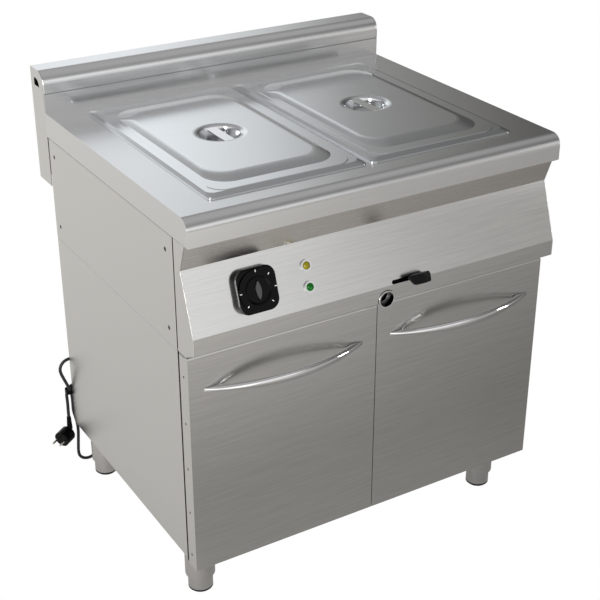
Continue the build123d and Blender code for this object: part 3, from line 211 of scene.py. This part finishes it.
MATERIALS = {
    "front": brushed_metal("brushed_front", STEEL, 0.21, ALONG_X, contrast=0.045, bump=0.006),
    # Painted light: a lighter copy of the front steel for the underside of the fascia's recess, so that it
    # looks more brightly lit
    "fold": brushed_metal("fold_painted_light", (0.87, 0.835, 0.80), 0.26, ALONG_X, contrast=0.02, bump=0.0),
    "side": brushed_metal("brushed_side", (0.64, 0.635, 0.62), 0.32, ALONG_Y, contrast=0.012, bump=0.01),
    "top": brushed_metal("worktop_steel", (0.68, 0.68, 0.68), 0.22, ALONG_X, contrast=0.025, bump=0.02,
                         tangent="Y"),
    "lid": brushed_metal("lid_steel", (0.66, 0.67, 0.68), 0.15, (0.5, 0.02, 0.02), contrast=0.015, bump=0.005,
                         anisotropy=0.0),
    "well": brushed_metal("well_steel", (0.60, 0.60, 0.60), 0.26, ALONG_Y, contrast=0.04, bump=0.03,
                          anisotropy=0.0),
    "inner": brushed_metal("inner_steel", (0.54, 0.54, 0.53), 0.34, ALONG_X, contrast=0.05, bump=0.04),
    "leg": brushed_metal("leg_steel", (0.56, 0.55, 0.54), 0.32, ROUND_Z, contrast=0.04, bump=0.03,
                         anisotropy=0.3),
    "polished": polished_metal("polished_steel", (0.72, 0.72, 0.72), 0.055),
    # Painted shade: near-black metal for rivets and screws, standing for the shade in recessed heads
    "fastener": polished_metal("fastener_painted_shade", (0.10, 0.10, 0.10), 0.35),
    "collar": polished_metal("collar_chrome", (0.66, 0.66, 0.66), 0.16),
    # Painted shade: dark steel for the drain gate, which is seen inside the outlet's mouth, standing for the
    # shade there
    "gate": polished_metal("gate_painted_shade", (0.22, 0.21, 0.20), 0.35),
    # Painted shade: near-black steel for the inside of the outlet, standing for the shade in its mouth
    "bore": polished_metal("bore_painted_shade", (0.05, 0.05, 0.05), 0.12),
    "heater": polished_metal("heater_steel", (0.28, 0.25, 0.23), 0.35),
    "black": moulded("black_plastic", (0.0014, 0.0014, 0.0015), 0.08, bump=0.02, gloss=0.10),
    # Painted sheen: a glossier, slightly lighter copy of the black plastic, put only on faces chosen to show a
    # highlight
    "painted_sheen": moulded("black_sheen", (0.003, 0.003, 0.003), 0.1, bump=0.0, gloss=1.0),
    "white": moulded("dial_white", (0.85, 0.85, 0.83), 0.45),
    "bush": moulded("bush_plastic", (0.72, 0.72, 0.69), 0.4),
    "rubber": moulded("foot_rubber", (0.012, 0.012, 0.012), 0.6, gloss=0.3),
    "cord": moulded("cord_rubber", (0.014, 0.014, 0.015), 0.42, gloss=0.4),
    "pin": polished_metal("plug_pins", (0.70, 0.68, 0.62), 0.18),
    "yellow": lamp_lens("lens_yellow", (0.30, 0.26, 0.008), 0.06),
    "green": lamp_lens("lens_green", (0.006, 0.17, 0.012), 0.06),
}

CORNERS = ("front_left", "front_right", "back_left", "back_right")
FINISH = {
    "front": ("left_door_skin", "right_door_skin", "fascia"),
    "side": ("upper_side_left", "upper_side_right", "base_side_left", "base_side_right", "fascia_end_caps",
             "splash_end_caps"),
    "top": ("worktop", "splash_cap"),
    "lid": ("left_lid", "right_lid", "left_pan", "right_pan"),
    "well": ("well_tank", "pan_support_bar", "drain_pipe"),
    "inner": ("upper_back", "under_tray", "base_floor", "base_back", "base_top_rail", "left_door_liner",
              "right_door_liner", "hinge_brackets"),
    "leg": ("leg_sleeves", *("foot_" + corner for corner in CORNERS)),
    "polished": ("left_door_handle", "right_door_handle", "left_lid_handle", "right_lid_handle", "outlet"),
    # Painted shade: the side screws take the near-black fastener finish
    "fastener": ("side_screws",),
    "collar": ("pilot_holders",),
    # Painted shade: the gate parts are made dark to stand for the shade inside the outlet
    "gate": ("gate_body", "gate_blade"),
    "heater": ("heating_elements", "thermostat_shaft"),
    "black": ("knob_bezel", "knob", "drain_lever", "thermostat_body", "connection_box", "cable_gland", "plug",
              "cord_tie"),
    "bush": ("left_door_bushes", "right_door_bushes", "door_catches"),
    "rubber": tuple("foot_pad_" + corner for corner in CORNERS),
    "cord": ("power_cord",),
    "yellow": ("pilot_lens_yellow",),
    "green": ("pilot_lens_green",),
}


PLUG_FACE = Vector((-0.4340, 0.2972, 0.0842))
PLUG_AXIS = Vector((-0.84, -0.52, -0.12))
OUTLET_AXIS = Vector((0.0, 0.0, 0.6053))


def second_finish(name, finish, chosen):
    """Gives the faces of a node that are chosen by their place and normal a second material."""
    node = NODES[name]
    node.data.materials.append(MATERIALS[finish])
    for face in node.data.polygons:
        place = node.matrix_world @ face.center
        normal = node.matrix_world.to_3x3() @ face.normal
        face.material_index = 1 if chosen(place, normal) else 0


GRIP_REACH = (0.0095, 0.0205)    # half the width and half the length of the knob's grip
GRIP_BASE = 0.0149               # above the control panel


def on_grip(place, normal):
    """On the raised grip of the knob."""
    out = place - KNOB_CENTRE
    across, along = abs(out.x), abs(out.dot(PANEL_DOWN))
    return across < GRIP_REACH[0] and along < GRIP_REACH[1] and out.dot(PANEL_OUT) > GRIP_BASE


def on_left_round(place, normal):
    """On the rounded left edge of the bezel, which faces the bright left and gets the painted sheen."""
    return normal.x < -0.3 and normal.dot(PANEL_OUT) > 0.15


def in_bore(place, normal):
    """On the faces that look towards the outlet's axis."""
    out = place - OUTLET_AXIS
    return out.x * normal.x + out.z * normal.z < 0


def finish_nodes():
    """Gives every CAD node its material, and some of their faces a second one."""
    for finish, names in FINISH.items():
        for name in names:
            NODES[name].data.materials.clear()
            NODES[name].data.materials.append(MATERIALS[finish])
    second_finish("plug", "pin", lambda place, normal: (place - PLUG_FACE).dot(PLUG_AXIS) > MM)
    # Painted light: the downward-facing faces of the fascia above the control panel get the lighter copy of the
    # steel, standing for light
    second_finish("fascia", "fold", lambda place, normal: normal.z < -0.2 and place.z > PANEL_TOP.z)
    # Painted shade: the outlet's inner faces get the near-black steel, standing for the shade inside the mouth
    second_finish("outlet", "bore", in_bore)
    # Painted sheen: the knob's grip and the bezel's left-facing rounded edge get the glossier black, to show
    # highlights there
    second_finish("knob", "painted_sheen", on_grip)
    second_finish("knob_bezel", "painted_sheen", on_left_round)


SOFT_EDGES = {               # width of the rounding
    0.0012: ("worktop", "splash_cap", "fascia", "left_door_skin", "right_door_skin"),
    0.0005: ("base_side_left", "base_side_right", "fascia_end_caps", "splash_end_caps", "left_lid_handle",
             "right_lid_handle", "leg_sleeves", "outlet", "knob", "drain_lever", "pilot_holders",
             "connection_box"),
}


def soften_edges():
    """Rounds the folds and cut edges of the sheets, so that they catch the light."""
    for width, names in SOFT_EDGES.items():
        for name in names:
            node = NODES[name]
            weld = node.modifiers.new("weld", "WELD")
            weld.merge_threshold = 1e-5
            bevel = node.modifiers.new("round", "BEVEL")
            bevel.width = width
            bevel.segments = 3
            bevel.limit_method = "ANGLE"
            bevel.angle_limit = math.radians(28)
            bevel.use_clamp_overlap = True
            bevel.harden_normals = False
            flat = node.modifiers.new("flat", "WEIGHTED_NORMAL")
            flat.keep_sharp = True


# Pieces

def add_mesh(name, bm, material, body):
    """Makes a piece from a bmesh, in the frame's own metres, that rides on a body."""
    bmesh.ops.recalc_face_normals(bm, faces=bm.faces)
    mesh = bpy.data.meshes.new(name)
    bm.to_mesh(mesh)
    bm.free()
    mesh.materials.append(MATERIALS[material])
    piece = bpy.data.objects.new(name, mesh)
    bpy.context.scene.collection.objects.link(piece)
    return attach(piece, body)


def turned(bm, profile, matrix, steps=24):
    """A turned solid about the local Z axis: the profile is radius and height, from pole to pole."""
    rings = []
    for radius, height in profile:
        if radius == 0:
            rings.append([bm.verts.new(matrix @ Vector((0, 0, height)))])
            continue
        turns = (2 * math.pi * k / steps for k in range(steps))
        rings.append([bm.verts.new(matrix @ Vector((radius * math.cos(a), radius * math.sin(a), height)))
                      for a in turns])
    for lower, upper in zip(rings, rings[1:]):
        for k in range(steps):
            nxt = (k + 1) % steps
            corners = [lower[k % len(lower)], lower[nxt % len(lower)],
                       upper[nxt % len(upper)], upper[k % len(upper)]]
            bm.faces.new(list(dict.fromkeys(corners)))


RIVET_SETBACK = 0.0405       # behind the nose face
RIVET_HEIGHTS = (0.536, 0.438, 0.340, 0.242, 0.144)
RIVET_RADIUS = 0.0024


def door_rivets():
    """Small domed rivets along the outer edge of each door."""
    for side, sign in (("left", -1), ("right", 1)):
        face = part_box(side + "_door_skin")[0 if sign < 0 else 1].x
        bm = bmesh.new()
        for height in RIVET_HEIGHTS:
            place = Vector((face, NOSE_Y * MM + RIVET_SETBACK, height))
            matrix = Matrix.Translation(place) @ Matrix.Rotation(sign * math.pi / 2, 4, "Y")
            dome = [(0, -0.0008), (RIVET_RADIUS, -0.0008), (RIVET_RADIUS, 0.0), (RIVET_RADIUS * 0.85, 0.0004),
                    (RIVET_RADIUS * 0.5, 0.0006), (0, 0.0006)]
            turned(bm, dome, matrix)
        # Painted shade: the rivets take the near-black fastener finish, standing for the shade of recessed
        # heads
        add_mesh(side + "_door_rivets", bm, "fastener", side + "_door")


BOW_FOOT = 0.030             # length of each foot on the door
BOW_BAR = 0.011              # thickness at the middle
BOW_TIP = 0.0035             # half the height of the tips
BOW_RISE = 0.0125            # upper edge of the middle above the tips, and the lower edge below them
BOW_SAG = 0.0055
BOW_END = 0.997              # share of the half length where the point is blunted
BOW_STATIONS = 72
BOW_STEPS = 28
BOW_FULLNESS = 0.9           # 1 for an oval section, less for a fuller one


def arc(reach, rise, place):
    """Height of a flat arc over its chord, at a place from its middle."""
    radius = (reach * reach + rise * rise) / (2 * rise)
    return math.sqrt(radius * radius - place * place) - (radius - rise)


def door_handles():
    """Bow handles of polished bar with a rounded section, tapering to a point at each foot."""
    for side in ("left", "right"):
        low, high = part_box(side + "_door_handle")
        middle, face, reach = (low.x + high.x) / 2, high.y, high.y - low.y
        half = (high.x - low.x) / 2
        tips = low.z + BOW_SAG
        bm = bmesh.new()
        rings = []
        for k in range(BOW_STATIONS + 1):
            x = half * BOW_END * math.sin(math.pi * (k / BOW_STATIONS - 0.5))
            front = face - arc(half, reach, x)
            inner = half - BOW_FOOT
            back = face - (arc(inner, reach - BOW_BAR, x) if abs(x) < inner else 0.0)
            top = tips + BOW_TIP + arc(half, BOW_RISE - BOW_TIP, x)
            bottom = tips - BOW_TIP - arc(half, BOW_SAG - BOW_TIP, x)
            ring = []
            for step in range(BOW_STEPS):
                turn = 2 * math.pi * step / BOW_STEPS
                y, z = (math.copysign(abs(share) ** BOW_FULLNESS, share)
                        for share in (math.cos(turn), math.sin(turn)))
                ring.append(bm.verts.new((middle + x, (front + back + y * (back - front)) / 2,
                                          (top + bottom + z * (top - bottom)) / 2)))
            rings.append(ring)
        for near, far in zip(rings, rings[1:]):
            for step in range(BOW_STEPS):
                following = (step + 1) % BOW_STEPS
                bm.faces.new((near[step], near[following], far[following], far[step])).smooth = True
        bm.faces.new(rings[0])
        bm.faces.new(rings[-1])
        bow = add_mesh(side + "_bow_handle", bm, "polished", side + "_door")
        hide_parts(side + "_door_handle")


TICK_RADIUS = 0.0345
TICK_HEIGHT = 0.0168         # dial face above the control panel
TICK_SIZE = (0.0040, 0.0016, 0.0004)
TICK_ANGLES = (90, 45, 0, -45, -135, 180)


def dial_ticks():
    """White marks round the rim of the thermostat's dial."""
    panel = Matrix((Vector((1, 0, 0)), -PANEL_DOWN, PANEL_OUT)).transposed().to_4x4()
    dial = Matrix.Translation(KNOB_CENTRE + TICK_HEIGHT * PANEL_OUT) @ panel
    bm = bmesh.new()
    for angle in TICK_ANGLES:
        turn = Matrix.Rotation(math.radians(angle), 4, "Z")
        tick = dial @ turn @ Matrix.Translation((TICK_RADIUS, 0, 0)) @ Matrix.Diagonal((*TICK_SIZE, 1.0))
        bmesh.ops.create_cube(bm, size=1.0, matrix=tick)
    add_mesh("dial_ticks", bm, "white", "thermostat_knob")


def power_cord():
    """The cord on one smooth line through its route."""
    points = [Vector((x, NOSE_Y + back, z)) * MM for x, back, z in CORD_ROUTE]
    curve = bpy.data.curves.new("mains_lead", "CURVE")
    curve.dimensions = "3D"
    curve.resolution_u = 8
    curve.bevel_depth = CORD_DIAMETER / 2
    curve.bevel_resolution = 5
    curve.use_fill_caps = True
    spline = curve.splines.new("NURBS")
    spline.points.add(len(points) - 1)
    for point, place in zip(spline.points, points):
        point.co = (*place, 1.0)
    spline.order_u = 3
    spline.use_endpoint_u = True
    lead = bpy.data.objects.new("mains_lead", curve)
    bpy.context.scene.collection.objects.link(lead)
    curve.materials.append(MATERIALS["cord"])
    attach(lead, "root")
    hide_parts("power_cord")


# Stage

# Brightness of the surroundings from left to right: low in front, low behind, and half-way up
SKY_FRONT = ((-1.0, (0.95, 0.955, 0.965)), (0.38, (0.95, 0.955, 0.965)), (0.47, (0.755, 0.755, 0.755)),
             (0.55, (0.47, 0.47, 0.465)), (0.64, (0.37, 0.365, 0.355)), (1.0, (0.34, 0.335, 0.325)))
SKY_BACK = ((-1.0, (0.93, 0.97, 1.0)), (0.38, (0.93, 0.97, 1.0)), (0.46, (0.68, 0.70, 0.71)),
            (0.53, (0.29, 0.29, 0.285)), (0.595, (0.18, 0.177, 0.17)), (0.635, (0.085, 0.083, 0.082)),
            (1.0, (0.075, 0.073, 0.072)))
SKY_MIDDLE = ((-1.0, 0.42), (0.0, 0.38), (0.40, 0.29), (0.50, 0.235), (0.60, 0.14), (1.0, 0.12))
SKY_OVERHEAD = 0.41
SKY_STRENGTH = 1.25
# Heights, as the sine of the elevation, between which one goes over into the next
FRONT_TO_MIDDLE = (0.18, 0.50)
BACK_TO_MIDDLE = (0.40, 0.54)
FRONT_TO_BACK = (-0.2, 0.2)
MIDDLE_TO_OVERHEAD = (0.62, 0.85)
# Brightness of the floor: from left to right, and from front to back
FLOOR_ACROSS = ((-1.0, 2.0), (-0.5, 1.9), (-0.3, 1.15), (0.0, 1.08), (0.3, 1.0), (0.6, 0.86), (0.9, 0.74),
                (1.2, 0.66), (2.0, 0.50))
FLOOR_TINT = (1.0, 0.978, 0.94)
FLOOR_REACH = 15.0
FLOOR_BACK = ((-3.0, 1.0), (-1.93, 0.88), (-1.6, 0.66), (-1.36, 0.525), (-1.2, 0.505), (-1.0, 0.40),
              (-0.7, 0.285), (0.0, 0.33), (2.0, 0.39))


def ramp(tree, value, stops):
    """Colours, or shades of grey, at the given values."""
    low, high = stops[0][0], stops[-1][0]
    node = tree.nodes.new("ShaderNodeValToRGB")
    elements = node.color_ramp.elements
    while len(elements) < len(stops):
        elements.new(0.5)
    for element, (place, colour) in zip(elements, stops):
        element.position = (place - low) / (high - low)
        element.color = (*colour, 1.0) if isinstance(colour, tuple) else (colour, colour, colour, 1.0)
    tree.links.new(spread(tree, value, 0.0, 1.0, source=(low, high)), node.inputs["Fac"])
    return node.outputs["Color"]


def mixed(tree, first, second, share):
    """Goes over from the first colour into the second, which may be one grey."""
    node = tree.nodes.new("ShaderNodeMix")
    node.data_type = "RGBA"
    tree.links.new(share, node.inputs["Factor"])
    tree.links.new(first, node.inputs["A"])
    if isinstance(second, float):
        node.inputs["B"].default_value = (second, second, second, 1.0)
    else:
        tree.links.new(second, node.inputs["B"])
    return node.outputs["Result"]


def multiplied(tree, first, second):
    """Two colours multiplied."""
    node = tree.nodes.new("ShaderNodeMix")
    node.data_type = "RGBA"
    node.blend_type = "MULTIPLY"
    node.inputs["Factor"].default_value = 1.0
    tree.links.new(first, node.inputs["A"])
    tree.links.new(second, node.inputs["B"])
    return node.outputs["Result"]


def seen_white(tree, lit, kind):
    """White to the camera, and lit as given to everything else."""
    white = tree.nodes.new(kind)
    path = tree.nodes.new("ShaderNodeLightPath")
    choice = tree.nodes.new("ShaderNodeMixShader")
    tree.links.new(path.outputs["Is Camera Ray"], choice.inputs["Fac"])
    tree.links.new(lit.outputs[0], choice.inputs[1])
    white.inputs["Color"].default_value = (1.0, 1.0, 1.0, 1.0)
    white.inputs["Strength"].default_value = 1.0
    tree.links.new(white.outputs[0], choice.inputs[2])
    return choice.outputs["Shader"]


def studio_floor():
    """White floor, shaded in front of the doors."""
    bm = bmesh.new()
    reach = FLOOR_REACH
    corners = ((-reach, -reach), (reach, -reach), (reach, reach), (-reach, reach))
    bm.faces.new([bm.verts.new((x, y, 0.0)) for x, y in corners])
    mesh = bpy.data.meshes.new("studio_floor")
    bm.to_mesh(mesh)
    bm.free()
    floor = bpy.data.objects.new("studio_floor", mesh)
    bpy.context.scene.collection.objects.link(floor)
    material = bpy.data.materials.new("pale_floor")
    material.use_nodes = True
    tree = material.node_tree
    tree.nodes.clear()
    place = tree.nodes.new("ShaderNodeSeparateXYZ")
    tree.links.new(tree.nodes.new("ShaderNodeTexCoord").outputs["Object"], place.inputs["Vector"])
    glow = tree.nodes.new("ShaderNodeEmission")
    across = [(x, tinted(FLOOR_TINT, brightness)) for x, brightness in FLOOR_ACROSS]
    shade = multiplied(tree, ramp(tree, place.outputs["X"], across), ramp(tree, place.outputs["Y"], FLOOR_BACK))
    tree.links.new(shade, glow.inputs["Color"])
    out = tree.nodes.new("ShaderNodeOutputMaterial")
    tree.links.new(seen_white(tree, glow, "ShaderNodeEmission"), out.inputs["Surface"])
    mesh.materials.append(material)


def studio_sky():
    """Soft light all round, brighter on the left and low down."""
    world = bpy.data.worlds.new("studio_light")
    bpy.context.scene.world = world
    world.use_nodes = True
    tree = world.node_tree
    direction = tree.nodes.new("ShaderNodeSeparateXYZ")
    tree.links.new(tree.nodes.new("ShaderNodeTexCoord").outputs["Generated"], direction.inputs["Vector"])
    sky = tree.nodes["Background"]
    sky.inputs["Strength"].default_value = SKY_STRENGTH
    across, back, height = (direction.outputs[axis] for axis in "XYZ")
    middle = ramp(tree, across, SKY_MIDDLE)
    low = [mixed(tree, ramp(tree, across, stops), middle, spread(tree, height, 0.0, 1.0, source=reach))
           for stops, reach in ((SKY_FRONT, FRONT_TO_MIDDLE), (SKY_BACK, BACK_TO_MIDDLE))]
    round_about = mixed(tree, *low, spread(tree, back, 0.0, 1.0, source=FRONT_TO_BACK))
    whole = mixed(tree, round_about, SKY_OVERHEAD, spread(tree, height, 0.0, 1.0, source=MIDDLE_TO_OVERHEAD))
    tree.links.new(whole, sky.inputs["Color"])
    tree.links.new(seen_white(tree, sky, "ShaderNodeBackground"), tree.nodes["World Output"].inputs["Surface"])


SOFTBOX_AIM = Vector((0.0, 0.0, 0.5))
SOFTBOXES = {                # place, size and power
    "left_softbox": (Vector((-2.9, -1.75, 1.2)), (0.5, 1.6), 36.0),
    "right_softbox": (Vector((3.0, -1.7, 1.05)), (0.5, 0.9), 20.0),
}


def softboxes():
    """Upright lamps at the front left and right, which show in the rounded edges."""
    for name, (place, size, power) in SOFTBOXES.items():
        light = bpy.data.lights.new(name, "AREA")
        light.shape = "RECTANGLE"
        light.size, light.size_y = size
        light.energy = power
        light.cycles.max_bounces = 1
        lamp = bpy.data.objects.new(name, light)
        lamp.location = place
        lamp.rotation_mode = "QUATERNION"
        lamp.rotation_quaternion = (SOFTBOX_AIM - place).to_track_quat("-Z", "Y")
        bpy.context.scene.collection.objects.link(lamp)


def photo_camera():
    """The photograph's camera."""
    camera = bpy.data.objects.new("camera", bpy.data.cameras.new("camera"))
    camera.data.lens = LENS
    camera.data.sensor_width = SENSOR
    camera.data.clip_end = 100.0
    camera.location = CAMERA_PLACE
    camera.rotation_mode = "QUATERNION"
    camera.rotation_quaternion = CAMERA_AIM.to_track_quat("-Z", "Y")
    bpy.context.scene.collection.objects.link(camera)
    bpy.context.scene.camera = camera
    bpy.context.scene.view_settings.view_transform = "Standard"


finish_nodes()
soften_edges()
door_rivets()
door_handles()
dial_ticks()
power_cord()
studio_floor()
studio_sky()
softboxes()
photo_camera()
